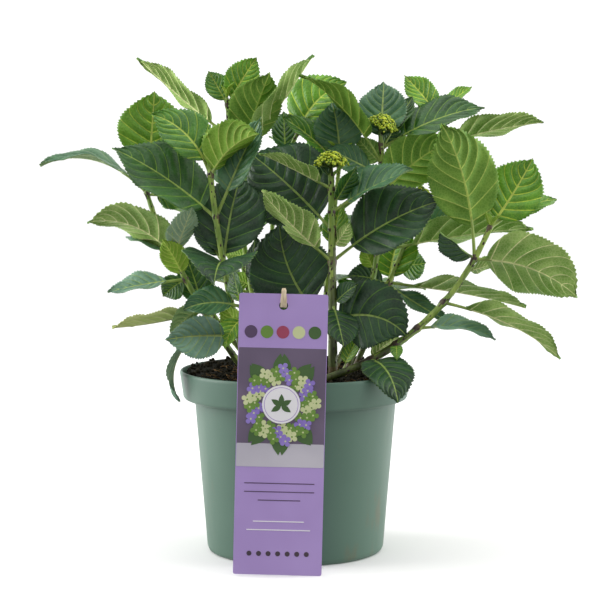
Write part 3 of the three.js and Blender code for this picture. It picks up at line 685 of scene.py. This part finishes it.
def addBlade(heap, line, row, tone, seed):
    length, share, stalk, fold = row[5:]
    lucky = random.Random(seed)
    rows, puffs, teeth, across = bladeRows(length)
    fold = math.radians(fold)
    size = grown(length, *blade["grown"])
    ends = 1 - (1 - rows) ** blade["sweep"]
    along = rows + (ends - rows) * across ** blade["arch"]
    isTooth = np.zeros_like(along)
    isTooth[:, 0] = teeth
    wide = np.maximum(halfWidth(along, share * length), blade["least"])
    rib = np.minimum(blade["midrib"] * size * (1 - blade["ribTaper"] * rows), wide)
    out = rib + (wide - rib) * across + blade["tooth"] * size * isTooth
    along = np.clip(along + blade["toothLean"] * isTooth, 0, 1)
    swell = blade["puff"] * length * puffs[:, None] * (1 - np.exp(-across * blade["puffStart"]))
    swell = swell * (1 - blade["puffFade"] * across ** 2)
    isVein = puffs < 1e-6
    thick = blade["thickness"] / 2
    tops, unders = [], []
    for hand in (1, -1):
        phase = lucky.uniform(0, 6.3)
        wave = blade["wave"] * length * across ** 2 * np.sin(2 * np.pi * blade["waves"] * along + phase)
        at, side, face = line.frames(stalk + along * length)
        rise = (out * math.sin(fold) + swell + wave)[..., None]
        base = at + side * (hand * out * math.cos(fold))[..., None] + face * rise
        ridge = thick + blade["veinRise"] * size * isVein[:, None] * (1 - across)
        ridge[:, -1] += blade["ribRise"] * size * (1 - blade["ribFade"] * rows[:, -1])
        tops.append(base + face * thick)
        unders.append(base - face * ridge[..., None])
    # The midrib: a crease above and a keel below.
    middle = rows[:, -1]
    at, _, face = line.frames(stalk + middle * length)
    top = at + face * blade["crease"]
    bottom = at - face * (thick + blade["ribKeel"] * size * (1 - blade["ribFade"] * middle))[:, None]
    rings = np.concatenate([
        tops[0], top[:, None], tops[1][:, ::-1], unders[1], bottom[:, None], unders[0][:, ::-1],
    ], 1)
    columns = len(across) - 1
    names = []
    for first, second in zip(isVein[:-1], isVein[1:]):
        vein = "Vein" if first and second else ""
        over, under, edge = tone + vein + "Over", tone + vein + "Under", tone + "Under"
        names.append(
            [over] * columns + [tone + "Rib"] * 2 + [over] * columns + [edge]
            + [under] * columns + [tone + "VeinUnder"] * 2 + [under] * columns + [edge]
        )
    heap.skin(rings, names)


# A leaf stalk: stout where it clasps the cane, grooved above, and run on under the blade.
# Its radius is given at its foot, past its collar, at the blade and where it ends, and its
# drop below the leaf's line at its foot, at the blade and where it ends.
stalkShape = {
    "radius": (2.2, 1.75, 1.45, 0.9), "collar": 5, "drop": (0, 0.2, 1.0), "runOn": 0.06,
    "groove": 0.3, "grooveWidth": 0.5, "rings": 9, "around": 10, "grown": (55, 0), "darkFrom": 50,
}


def addStalk(heap, line, row):
    length, stalk = row[5], row[7]
    stop = stalk + stalkShape["runOn"] * length
    spots = np.linspace(0, stop, stalkShape["rings"])
    size = grown(length, *stalkShape["grown"])
    radius = size * np.interp(spots, [0, stalkShape["collar"], stalk + 0.01, stop], stalkShape["radius"])
    drop = np.interp(spots, [0, stalk, stop + 0.01], stalkShape["drop"]) * size
    around = stalkShape["around"]
    angles = 2 * np.pi * np.arange(around) / around
    groove = 1 - stalkShape["groove"] * np.exp(-((angles - np.pi / 2) / stalkShape["grooveWidth"]) ** 2)
    rings = [
        a - f * d + r * (np.outer(np.cos(angles), s) + np.outer(np.sin(angles) * groove, f))
        for a, s, f, r, d in zip(*line.frames(spots), radius, drop)
    ]
    foot = "node" if length > stalkShape["darkFrom"] else "stalk"
    names = [foot] + ["stalk"] * (len(rings) - 2)
    heap.skin(rings, [[name] * around for name in names])


# Cane relief: swellings with dark bands where leaves grow, which reach less far above than
# below, ridges, and lenticels about every so many millimetres.
stemRelief = {
    "ringStep": 1.7, "around": 14, "depth": 12, "stout": 1.1, "node": 0.8, "nodeReach": 3.2,
    "band": 2.4, "bandSides": (0.55, 1.3), "ridge": 0.12, "darkerFoot": 0.22, "wood": 0.05,
    "lenticelStep": 2.1, "lenticel": (0.6, 1.45), "lenticelShape": (1.5, 0.8), "lenticelRise": 0.22,
}


def addStem(heap, cane, seed):
    lucky = random.Random(seed)
    fine = np.array([canePoint(cane, t) for t in np.linspace(0, 1, 60)])
    length = np.linalg.norm(np.diff(fine, axis=0), axis=1).sum()
    shares = np.linspace(-stemRelief["depth"] / length, 1, int(length / stemRelief["ringStep"]))
    path = [canePoint(cane, t) for t in shares]
    nodes = sorted({row[0] for row in cane["leaves"]})
    start, end = cane["girth"]
    stout = cane.get("stout", stemRelief["stout"])
    darkerTo, wood = cane.get("darkerFoot", stemRelief["darkerFoot"]), stemRelief["wood"]
    below, above = stemRelief["bandSides"]
    angle = 2 * np.pi * np.arange(stemRelief["around"]) / stemRelief["around"]
    radii, names = [], []
    phase = lucky.uniform(0, 6)
    for t in shares:
        swell = sum(math.exp(-((t - n) * length / stemRelief["nodeReach"]) ** 2) for n in nodes)
        base = stout * (start + (end - start) * max(t, 0)) + stemRelief["node"] * min(swell, 1)
        ridges = np.sin(4 * angle + phase + 3 * t) + np.sin(t * length / 3.1 + 2 * angle)
        radii.append(base + stemRelief["ridge"] * ridges)
        # Waves round the cane keep the edges of the bands and of the darker lower part uneven.
        dark = min(abs(t - n) * length * (below if t < n else above) for n in nodes)
        waves = 0.75 + 0.8 * np.sin(2 * angle + phase) + 0.5 * np.sin(5 * angle + 9 * t)
        darkerLimits = darkerTo + 0.1 * np.sin(3 * angle + 2 * phase) + 0.06 * np.sin(t * 40)
        names.append([
            "node" if dark < width else "wood" if t < wood else "stemLow" if t < darkerLimit else "stem"
            for width, darkerLimit in zip(stemRelief["band"] * waves, darkerLimits)
        ])
    rings = tube(path, radii, stemRelief["around"])
    heap.skin(rings, names[:-1])
    longer, across = stemRelief["lenticelShape"]
    for _ in range(int(length / stemRelief["lenticelStep"])):
        k = lucky.randrange(2, len(shares) - 1)
        j = lucky.randrange(stemRelief["around"])
        along = unit(rings[k, j] - rings[k - 1, j])
        out = unit(rings[k, j] - path[k])
        size = lucky.uniform(*stemRelief["lenticel"])
        sideways = np.cross(out, along)
        axes = [along * size * longer, sideways * size * across, out * stemRelief["lenticelRise"]]
        heap.lump(rings[k, j], axes, "lenticel", roughBall)


# Flower heads in bud: a dome of tight bud clusters on branching stalks, with fewer clusters
# on a small head. "spread" is a cluster's radius, and "mix" how often a bud has each finish.
blossom = {
    "clusters": 60, "fewClusters": 16, "smallHead": 10, "budsEach": 12, "bud": (0.8, 1.3), "spread": 2.7,
    "crown": 0.72, "uneven": 0.04, "goldenTurn": 2.4, "stalk": (2.2, 2.1, 1.7), "twig": (1.0, 0.8, 0.6),
    "mix": {"budGreen": 5, "budYellow": 6, "budDeep": 4},
}


def addBlossom(heap, cane, seed):
    lucky = random.Random(seed)
    flower = cane["flower"]
    axis = unit(flower["lean"])
    top = canePoint(cane, 1.0)
    u = unit(np.cross([0, 1, 0], axis))
    v = np.cross(axis, u)
    foot = top + axis * flower["stem"]
    radius, height = flower["radius"], flower["height"] - 0.6
    heap.skin(tube([canePoint(cane, 0.97), top, foot], blossom["stalk"], 8), "twig")
    clusters = blossom["clusters"] if radius > blossom["smallHead"] else blossom["fewClusters"]
    spread = blossom["spread"] * min(1, radius / 12)
    uneven = blossom["uneven"]
    for k in range(clusters):
        share = math.sqrt((k + 0.4) / clusters) * lucky.uniform(0.94, 1.0)
        angle = blossom["goldenTurn"] * k
        outward = math.cos(angle) * u + math.sin(angle) * v
        lift = 1 - blossom["crown"] * share ** 2.2 - spread / height
        lift = lift + lucky.uniform(-uneven, uneven)
        centre = foot + (radius - 0.5 * spread) * share * outward + axis * height * lift
        if k % 3 == 0 or share > 0.85:
            middle = foot + 0.45 * (centre - foot) + 0.1 * radius * outward
            heap.skin(tube([foot, middle, centre - axis], blossom["twig"], 6), "twig")
        face = unit(axis + 0.9 * share * outward)
        for _ in range(blossom["budsEach"]):
            away = unit([lucky.gauss(0, 1) for _ in range(3)])
            if away @ face < -0.2:
                away = away - 2 * (away @ face) * face
            size = lucky.uniform(*blossom["bud"]) * min(1, radius / 14 + 0.2)
            name = lucky.choices(list(blossom["mix"]), list(blossom["mix"].values()))[0]
            heap.lump(centre + away * spread * lucky.uniform(0.6, 1.0), np.eye(3) * size, name, fineBall)


# Young leaves folded round the growing tip of every cane without a flower.
youngTip = {
    "count": 3, "at": 0.995, "turn": 137, "rise": (52, 78), "droop": 18, "roll": (-15, 15),
    "length": (11, 19), "share": 0.42, "stalk": 1.5, "fold": 38, "tone": "bright",
}


def addYoungLeaves(heap, cane, seed):
    lucky = random.Random(seed)
    for k in range(youngTip["count"]):
        row = [
            youngTip["at"], youngTip["turn"] * k + seed, lucky.uniform(*youngTip["rise"]),
            youngTip["droop"], lucky.uniform(*youngTip["roll"]), lucky.uniform(*youngTip["length"]),
            youngTip["share"], youngTip["stalk"], youngTip["fold"],
        ]
        line = LeafLine(canePoint(cane, row[0]), row)
        addBlade(heap, line, row, youngTip["tone"], seed + 50 + k)


def growCane(name, cane):
    stems = Heap("stems_" + name)
    leaves = Heap("leaves_" + name)
    seed = sum(ord(letter) for letter in name)
    addStem(stems, cane, seed)
    for first, rows in ((0, cane["leaves"]), (30, cane.get("small", []))):
        for k, (*row, tone) in enumerate(rows, first):
            line = LeafLine(canePoint(cane, row[0]), row)
            addStalk(stems, line, row)
            addBlade(leaves, line, row, tone, seed + k)
    if "flower" in cane:
        heads = Heap("blossom_" + name)
        addBlossom(heads, cane, seed)
        heads.build(["foliage_" + name])
    else:
        addYoungLeaves(leaves, cane, seed)
    stems.build(["cane_" + name, "foliage_" + name])
    leaves.build(["foliage_" + name])


for name, cane in canes.items():
    growCane(name, cane)
print("shrub: canes, leaves and flower heads grown")

# Pot: the source's outline with its corners rounded and finely turned.
pot = {
    "height": 181, "rimRadius": 115, "rimBand": 28, "rimLip": 2.5, "bodyTop": 100, "foot": 88, "wall": 2.2,
    "floor": 3, "around": 160,
}
potSkin = {
    "paint": ((71, 100, 85), (77, 106, 91)), "clouds": 9, "stain": (102, 92, 66), "stainShow": 0.42,
    "specks": 90, "speck": (128, 112, 84), "speckShow": 0.2, "rough": (0.36, 0.2), "scuffs": 60,
    "grain": 1300, "bump": 0.12, "bumpDepth": 0.0004, "specular": 0.42,
}
top, rim, wall = pot["height"], pot["rimRadius"], pot["wall"]
body, foot, band = pot["bodyTop"], pot["foot"], pot["height"] - pot["rimBand"]
# Radius, height and how far the corner is cut back, from the underside up and down the inside.
potOutline = [
    (0, 0, 0), (foot - 5, 0, 1), (foot - 1.5, 1.5, 1.2), (foot, 5, 1.5),
    (body, band - 3, 1.2), (body + 3, band, 1), (rim - 5, band, 1), (rim - 3.5, band + 2, 1),
    (rim - 0.1, top - pot["rimLip"], 1), (rim - 0.5, top - 0.6, 0.5), (rim - 1.2, top, 0.4),
    (rim - wall, top, 0.4), (rim - wall - 0.4, top - 1.5, 0.4), (rim - 5.5 - wall, band + wall + 2, 1.5),
    (body - wall, band - 4, 1.5), (foot - wall, pot["floor"] + 3, 1), (foot - wall - 3, pot["floor"], 1),
    (0, pot["floor"], 0),
]


def rounded(outline, steps=4):
    # Corners of an outline cut back by their third figure and bridged with a curve.
    done = []
    for k, (x, z, cut) in enumerate(outline):
        here = np.array([x, z], float)
        if not cut:
            done.append(here)
            continue
        before = np.array(outline[k - 1][:2], float)
        after = np.array(outline[(k + 1) % len(outline)][:2], float)
        first = here + unit(before - here) * min(cut, 0.45 * np.linalg.norm(before - here))
        last = here + unit(after - here) * min(cut, 0.45 * np.linalg.norm(after - here))
        for s in np.linspace(0, 1, steps):
            done.append((1 - s) ** 2 * first + 2 * s * (1 - s) * here + s * s * last)
    return done


def potFinish():
    wire = newFinish("pot_plastic", Specular_IOR_Level=potSkin["specular"])
    low, high = potSkin["paint"]
    paint = noise(wire, potSkin["clouds"], 2.0).between(0.3, 0.7).mix(tint(*low), tint(*high))
    runs = noise(wire, 60.0, 5.0, (1, 1, 0.3), (0.3, 0, 0)).between(0.56, 0.72)
    specks = 1 - cellsOf(wire, potSkin["specks"], "F1").between(0.04, 0.09)
    stain = runs * noise(wire, 14.0, 2.0, (1, 1, 0.6), (0, 0, 0.4)).between(0.52, 0.64)
    paint = (potSkin["stainShow"] * stain).mix(paint, tint(*potSkin["stain"]))
    paint = (potSkin["speckShow"] * specks).mix(paint, tint(*potSkin["speck"]))
    paint.into("Base Color")
    scuffs = noise(wire, potSkin["scuffs"], 6.0, (1, 1, 0.3))
    least, more = potSkin["rough"]
    (least + more * scuffs).into("Roughness")
    grain = noise(wire, potSkin["grain"], 2.0) + 0.3 * scuffs
    relief(wire, grain, potSkin["bump"], potSkin["bumpDepth"])
    return wire.material


finishes["pot"] = potFinish()
angle = -2 * np.pi * np.arange(pot["around"]) / pot["around"]
profile = rounded(potOutline)
profile[0][0] = profile[-1][0] = 0.02  # nearly on the axis
potRings = [[(r * math.cos(a), r * math.sin(a), z) for a in angle] for r, z in profile[::-1]]
heap = Heap("pot_shell")
heap.skin(potRings, "pot")
heap.build(["pot"])
print("pot turned")

# Soil: the source's heaped surface with crumbs of peat and fibres on it.
soil = {
    "drop": 9, "heap": 12, "rows": 46, "edge": 0.955, "baseRadius": 95, "base": 150, "gap": 0.9,
    "crumbs": 1500, "crumb": (0.7, 2.3), "bigCrumbs": (0.08, 1.5), "crumbReach": 0.97, "crumbLift": 0.4,
    "fibres": 170, "fibre": (6, 17), "fibreRadius": 0.3, "fibreArch": 1.4, "fibreReach": 0.8,
}
peatPaints = {
    "peat": ("peat_dark", (15, 15, 10), (31, 28, 19)),
    "crumb": ("peat_crumb", (20, 19, 12), (44, 38, 26)),
    "fibre": ("peat_fibre", (84, 62, 38), (132, 104, 68)),
}
peatSkin = {
    "clouds": 300, "grit": 380, "gritPaint": (104, 86, 60), "gritShow": 0.35, "grain": 700, "bump": 0.9,
}


def soilHeight(x, y):
    # Low at the front and heaped towards the wall elsewhere, with lumps that die out at the wall.
    share = math.hypot(x, y) / (rim - wall)
    around = math.atan2(y, x)
    side = 0.5 + 0.5 * math.sin(around) + 0.25 * math.cos(around) ** 2
    lumps = math.sin(x / 9 + 1) * math.cos(y / 11) + 0.6 * math.sin((x + y) / 6)
    fine = 0.7 * math.sin(x / 1.9 + 2 * math.sin(y / 2.6)) * math.sin(y / 2.2 + x / 5)
    rise = soil["heap"] * min(side, 1) * share ** 3
    return top - soil["drop"] + rise + (0.9 * lumps + fine) * (1 - share ** 6)


def peatFinish(name, low, high):
    wire = newFinish(name, 0.95, Specular_IOR_Level=0.15)
    paint = noise(wire, peatSkin["clouds"], 5.0).between(0.35, 0.68).mix(tint(*low), tint(*high))
    grit = 1 - cellsOf(wire, peatSkin["grit"], "F1").between(0.08, 0.16)
    (peatSkin["gritShow"] * grit).mix(paint, tint(*peatSkin["gritPaint"])).into("Base Color")
    relief(wire, noise(wire, peatSkin["grain"], 5.0), peatSkin["bump"], 0.0016)
    return wire.material


for name, paints in peatPaints.items():
    finishes[name] = peatFinish(*paints)
wallInside = rim - wall - soil["gap"]
heap = Heap("soil_bed")
base = soil["baseRadius"]
rings = [[(base * math.cos(a), base * math.sin(a), soil["base"]) for a in -angle]]
for k in range(soil["rows"]):
    reach = soil["edge"] * wallInside * (1 - k / (soil["rows"] - 0.5))
    ring = [(reach * math.cos(a), reach * math.sin(a)) for a in -angle]
    rings.append([(x, y, soilHeight(x, y)) for x, y in ring])
heap.skin(rings, "peat")
heap.build(["soil"])


def jagged(lucky, ball, size):
    points, faces = ball
    scale = np.array([[lucky.uniform(0.65, 1.25)] for _ in points])
    return points * scale * size, faces


heap = Heap("soil_crumbs")
bigShare, bigger = soil["bigCrumbs"]
for _ in range(soil["crumbs"]):
    reach = wallInside * soil["crumbReach"] * math.sqrt(dice.random())
    a = dice.uniform(0, 2 * math.pi)
    x, y = reach * math.cos(a), reach * math.sin(a)
    size = dice.uniform(*soil["crumb"]) * (bigger if dice.random() < bigShare else 1)
    spot = np.array([x, y, soilHeight(x, y) + soil["crumbLift"] * size])
    spot[:2] *= min(1, (wallInside - size * 1.4) / (reach + 1e-6))  # clear of the wall
    heap.lump(spot, np.eye(3), dice.choice(["crumb", "peat", "crumb"]), jagged(dice, roughBall, size))
for _ in range(soil["fibres"]):
    reach = wallInside * soil["fibreReach"] * math.sqrt(dice.random())
    a, heading = dice.uniform(0, 2 * math.pi), dice.uniform(0, 2 * math.pi)
    length = dice.uniform(*soil["fibre"])
    path = []
    for k in range(6):
        x = reach * math.cos(a) + (k / 5 - 0.5) * length * math.cos(heading + 0.25 * k)
        y = reach * math.sin(a) + (k / 5 - 0.5) * length * math.sin(heading + 0.25 * k)
        path.append((x, y, soilHeight(x, y) + 1.0 + soil["fibreArch"] * math.sin(math.pi * k / 5)))
    heap.skin(tube(path, [soil["fibreRadius"]] * 6, 5), "fibre")
heap.build(["soil"])
print("soil laid")

# Card tag: the source's card, with plain printed shapes a hair proud of it.
tag = {
    "width": 83.5, "height": 265, "thickness": 1.2, "middle": -17, "lean": 3.1, "roll": 1.4, "fromRim": 0.3,
    "print": 0.1, "ink": 0.02, "inset": 0.6, "rough": 0.42,
}
# What is printed on it, with heights above its foot. A line has a height, half a width and
# a paint.
cardPrint = {
    "band": (102, 214), "ground": (102, 124), "dotRow": 229, "dot": 6, "dotStep": 15,
    "dots": ("cardDusk", "cardGreen", "cardRose", "cardCream", "cardLeaf"),
    "lines": (
        (86, 33, "cardDusk"), (78, 33, "cardDusk"), (70, 20, "cardDusk"), (50, 24, "cardPale"),
        (42, 30, "cardPale"),
    ),
    "line": 0.9, "beadRow": 20, "bead": 2.4, "beadStep": 9, "beads": 7,
}
# A wreath of florets and leaves round a plain roundel with a star of leaves.
wreath = {
    "middle": 161, "wide": 33.5, "tall": 35, "inner": 0.6, "florets": 58, "floret": 5.6, "eye": 0.9,
    "paints": ("cardGreen", "cardLilac", "cardCream", "cardGreen", "cardLilac", "cardGreen", "cardCream"),
    "leafTurns": (42, 62, 80, 100, 120, 138, 222, 242, 260, 280, 300, 318), "leafIn": 0.76, "leaf": 22,
    "roundel": 18, "star": 11, "starTurns": (0.5, 1.55, 2.6, 3.7, 5.7),
}
cardPaints = {
    "card": ((176, 150, 210), (184, 158, 218)),
    "cardPale": ((244, 242, 246), (250, 248, 250)),
    "cardGrey": ((98, 86, 108), (118, 104, 128)),
    "cardDusk": ((84, 66, 96), (92, 74, 104)),
    "cardStone": ((190, 186, 198), (206, 202, 212)),
    "cardInk": ((58, 46, 58), (66, 52, 64)),
    "cardGreen": ((104, 140, 60), (124, 158, 72)),
    "cardLeaf": ((62, 92, 48), (74, 104, 56)),
    "cardLilac": ((142, 120, 200), (164, 146, 216)),
    "cardRose": ((156, 66, 92), (176, 84, 108)),
    "cardCream": ((206, 214, 160), (222, 226, 180)),
}
# The card stands on a lower corner and leans on the rim.
lean, roll = math.radians(tag["lean"]), math.radians(tag["roll"])
tagPlace = Matrix.Translation((
    tag["middle"],
    -rim - tag["fromRim"] - (top - pot["rimLip"]) * math.tan(lean) - tag["thickness"] / 2 / math.cos(lean),
    0.5 * tag["width"] * math.sin(roll) + 0.5 * tag["thickness"] * math.sin(lean),
)) @ Matrix.Rotation(-lean, 4, "X") @ Matrix.Rotation(roll, 4, "Y")


def cardFinish(name, low, high):
    wire = newFinish(name, tag["rough"], Specular_IOR_Level=0.4)
    noise(wire, 16.0, 2.0).between(0.3, 0.7).mix(tint(*low), tint(*high)).into("Base Color")
    relief(wire, noise(wire, 1500.0, 2.0), 0.06, 0.0002)
    return wire.material


for name, (low, high) in cardPaints.items():
    finishes[name] = cardFinish("tag_" + name, low, high)


def onTag(x, h, lift):
    # A point on the card's front: from its middle line, above its foot, and proud of it.
    return tuple(tagPlace @ Vector((x, -tag["thickness"] / 2 - lift, h)))


def flatShape(heap, outline, name, layer=1):
    # A printed shape: an outline on the card, as thin as ink.
    low = [onTag(x, h, tag["ink"]) for x, h in outline]
    high = [onTag(x, h, tag["print"] * layer) for x, h in outline]
    heap.skin([low, high], name)


def panel(left, low, right, high, corner=0.0):
    if not corner:
        return [(left, low), (right, low), (right, high), (left, high)]
    spots = []
    for x, h, start in (
        (right - corner, low + corner, -90), (right - corner, high - corner, 0),
        (left + corner, high - corner, 90), (left + corner, low + corner, 180),
    ):
        turns = [math.radians(start + a) for a in (0, 30, 60, 90)]
        spots += [(x + corner * math.cos(a), h + corner * math.sin(a)) for a in turns]
    return spots


def disc(x, h, radius, count=28):
    turns = [2 * math.pi * k / count for k in range(count)]
    return [(x + radius * math.cos(a), h + radius * math.sin(a)) for a in turns]


def floret(x, h, radius, turn):
    # Four rounded petals round a middle.
    turns = [2 * math.pi * k / 32 for k in range(32)]
    reach = [radius * (0.42 + 0.58 * abs(math.cos(2 * a)) ** 0.6) for a in turns]
    return [(x + r * math.cos(a + turn), h + r * math.sin(a + turn)) for a, r in zip(turns, reach)]


def leafPrint(x, h, length, turn):
    # A leaf's outline from its foot to its tip and back.
    spots = []
    for side in (1, -1):
        for k in range(7):
            s = k / 6 if side > 0 else 1 - k / 6
            wide = side * 0.24 * length * math.sin(math.pi * s ** 0.85)
            spots.append((x + s * length * math.cos(turn) - wide * math.sin(turn),
                          h + s * length * math.sin(turn) + wide * math.cos(turn)))
    return spots[:-1]


heap = Heap("tag_print")
edge = tag["width"] / 2 - tag["inset"]
for (low, high), name, layer in ((cardPrint["band"], "cardGrey", 1), (cardPrint["ground"], "cardStone", 2)):
    flatShape(heap, panel(-edge, low, edge, high, 1.0), name, layer)
middle, wide, tall = wreath["middle"], wreath["wide"], wreath["tall"]
for k, degrees in enumerate(wreath["leafTurns"]):
    a = math.radians(degrees)
    x, h = wreath["leafIn"] * wide * math.cos(a), middle + wreath["leafIn"] * tall * math.sin(a)
    flatShape(heap, leafPrint(x, h, wreath["leaf"], a + 0.3 * (-1) ** k), "cardLeaf", 3 + 0.05 * k)
for k in range(wreath["florets"]):
    share = (k + 0.5) / wreath["florets"]
    share = math.sqrt(wreath["inner"] ** 2 + (1 - wreath["inner"] ** 2) * share)
    x, h = wide * share * math.cos(2.4 * k), middle + tall * share * math.sin(2.4 * k)
    paint = wreath["paints"][k % len(wreath["paints"])]
    flatShape(heap, floret(x, h, wreath["floret"], 0.7 * k), paint, 4 + k * 0.1)
    eye = "cardGreen" if paint == "cardCream" else "cardCream"
    flatShape(heap, disc(x, h, wreath["eye"], 8), eye, 4.3 + k * 0.1)
for shrink, paint, layer in ((0, "cardPale", 11), (1.8, "card", 11.4), (2.4, "cardPale", 11.8)):
    flatShape(heap, disc(0, middle, wreath["roundel"] - shrink, 48), paint, layer)
for k, turn in enumerate(wreath["starTurns"]):
    flatShape(heap, leafPrint(0, middle - 1, wreath["star"], turn), "cardLeaf", 12.2 + 0.3 * k)
for k, paint in enumerate(cardPrint["dots"], -2):
    flatShape(heap, disc(cardPrint["dotStep"] * k, cardPrint["dotRow"], cardPrint["dot"]), paint, 2)
for h, wide, paint in cardPrint["lines"]:
    flatShape(heap, panel(-wide, h, wide, h + cardPrint["line"]), paint, 2)
for k in range(cardPrint["beads"]):
    x = cardPrint["beadStep"] * (k - (cardPrint["beads"] - 1) / 2)
    flatShape(heap, disc(x, cardPrint["beadRow"], cardPrint["bead"], 12), "cardInk", 2)
heap.build([], smooth=False)
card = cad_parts["tag"]
card.data.materials.clear()
card.data.materials.append(finishes["card"])

# Strap: a paper loop through the card's slot, pinched in the slot and rounded at its top.
strap = {
    "width": 6, "reach": 2.6, "low": -12.5, "high": 5.0, "thick": 0.5, "turns": 40, "pinch": 0.25,
    "round": 0.55, "paper": ((178, 158, 130), (216, 202, 174)),
}
wire = newFinish("strap_paper", 0.7, Specular_IOR_Level=0.3)
low, high = strap["paper"]
noise(wire, 400.0, 4.0, (1, 1, 0.2)).between(0.3, 0.7).mix(tint(*low), tint(*high)).into("Base Color")
relief(wire, noise(wire, 900.0, 3.0, (1, 1, 0.1)), 0.5, 0.0004)
finishes["strap"] = wire.material
heap = Heap("strap_loop")
rings = []
for k in range(strap["turns"] + 1):
    a = 2 * math.pi * (k % strap["turns"]) / strap["turns"]
    y = strap["reach"] * math.cos(a) * (1 if abs(math.sin(a)) < 0.9 else 0.9)
    z = (strap["low"] + strap["high"]) / 2 + (strap["high"] - strap["low"]) / 2 * math.sin(a)
    wide = strap["width"] / 2 * (1 - strap["pinch"] * math.exp(-((z - 1) / 4) ** 2))
    wide *= 1 - strap["round"] * max(0.0, (z - strap["high"] + 3) / 3) ** 2
    ring = []
    for side, out in ((wide, 0), (wide, 1), (-wide, 1), (-wide, 0)):
        grow = 1 + out * strap["thick"] / strap["reach"]
        h = tag["height"] + (z + 4) * (1 + 0.04 * out) - 4
        ring.append(tuple(tagPlace @ Vector((side, y * grow, h))))
    rings.append(ring)
heap.skin(rings, "strap", capped=False)
heap.build(["tag_strap"])
print("tag and strap made")

# Studio: a pale floor, soft side lights and the photograph's viewing angle. Its sizes are in
# metres: the floor pales between two distances, and each light has its power, size and place.
studio = {
    "floor": (230, 230, 229), "farFloor": (252, 252, 252), "pale": (0.35, 1.4), "reach": 30,
    "sky": 1.14, "dim": 0.24, "dimFade": (-0.9, 0.1), "lift": 0.8, "below": 0.85, "belowFade": (-0.3, 0.05),
    "aim": (0, 0, 0.25),
    "lights": {
        "left_softbox": (38, (1.2, 1.6), (-1.7, 0.1, 0.8)),
        "right_softbox": (28, (1.2, 1.6), (1.7, 0.1, 0.8)),
        "top_softbox": (7, (1.6, 1.6), (0, 0.2, 2.0)),
    },
}
# The floor is painted darker near the pot and paler far off: painted shade round the pot and painted light
# in the distance.
wire = newFinish("floor_pale", 0.9, Specular_IOR_Level=0.1)
place = wire.add("TexCoord", out="Object")
reach = wire.add("VectorMath", {"operation": "LENGTH"}, {0: place}, out="Value")
reach.between(*studio["pale"]).mix(tint(*studio["floor"]), tint(*studio["farFloor"])).into("Base Color")
mesh = bpy.data.meshes.new("floor")
side = studio["reach"]
corners = [(-side, -side, 0), (side, -side, 0), (side, side, 0), (-side, side, 0)]
mesh.from_pydata(corners, [], [(0, 1, 2, 3)])
mesh.materials.append(wire.material)
floor = bpy.data.objects.new("floor", mesh)
bpy.context.scene.collection.objects.link(floor)
floor.visible_diffuse = False  # so that it doesn't throw its white back on the object

world = bpy.data.worlds.new("studio")
bpy.context.scene.world = world
world.use_nodes = True
sky = Wire(world)
# The surroundings are white, and dimmer below and on the near side, where the studio is dark.
heading = sky.add("TexCoord", out="Generated")
height = sky.add("SeparateXYZ", {}, {"Vector": heading}, out="Z")
depth = sky.add("SeparateXYZ", {}, {"Vector": heading}, out="Y")
farness = depth + studio["lift"] * sky.sum("MAXIMUM", height, 0.0)
glow = farness.between(*studio["dimFade"]) * (1 - studio["dim"]) + studio["dim"]
glow = glow * (height.between(*studio["belowFade"]) * (1 - studio["below"]) + studio["below"])
backdrop = sky.add("LightPath", out="Is Camera Ray")
glow = studio["sky"] * sky.sum("MAXIMUM", glow, backdrop)
background = world.node_tree.nodes["Background"]
background.inputs["Color"].default_value = (1, 1, 1, 1)
world.node_tree.links.new(glow.socket, background.inputs["Strength"])
bpy.context.scene.view_settings.view_transform = "Standard"


def softLight(name, power, size, place):
    light = bpy.data.lights.new(name, "AREA")
    light.shape = "RECTANGLE"
    light.size, light.size_y = size
    light.energy = power
    lamp = bpy.data.objects.new(name, light)
    bpy.context.scene.collection.objects.link(lamp)
    lamp.location = place
    lamp.rotation_mode = "QUATERNION"
    lamp.rotation_quaternion = (Vector(studio["aim"]) - Vector(place)).to_track_quat("-Z", "Y")


for name, light in studio["lights"].items():
    softLight(name, *light)

view = {"place": (4.57, -2000, 425), "down": 5.0, "focal": 2021, "frame": 600, "sensor": 36}
lens = bpy.data.cameras.new("camera")
lens.sensor_width = view["sensor"]
lens.lens = view["focal"] * view["sensor"] / view["frame"]
camera = bpy.data.objects.new("camera", lens)
camera.location = Vector(view["place"]) * mm
camera.rotation_euler = (math.radians(90 - view["down"]), 0, 0)
bpy.context.scene.collection.objects.link(camera)
bpy.context.scene.camera = camera
print("studio set")
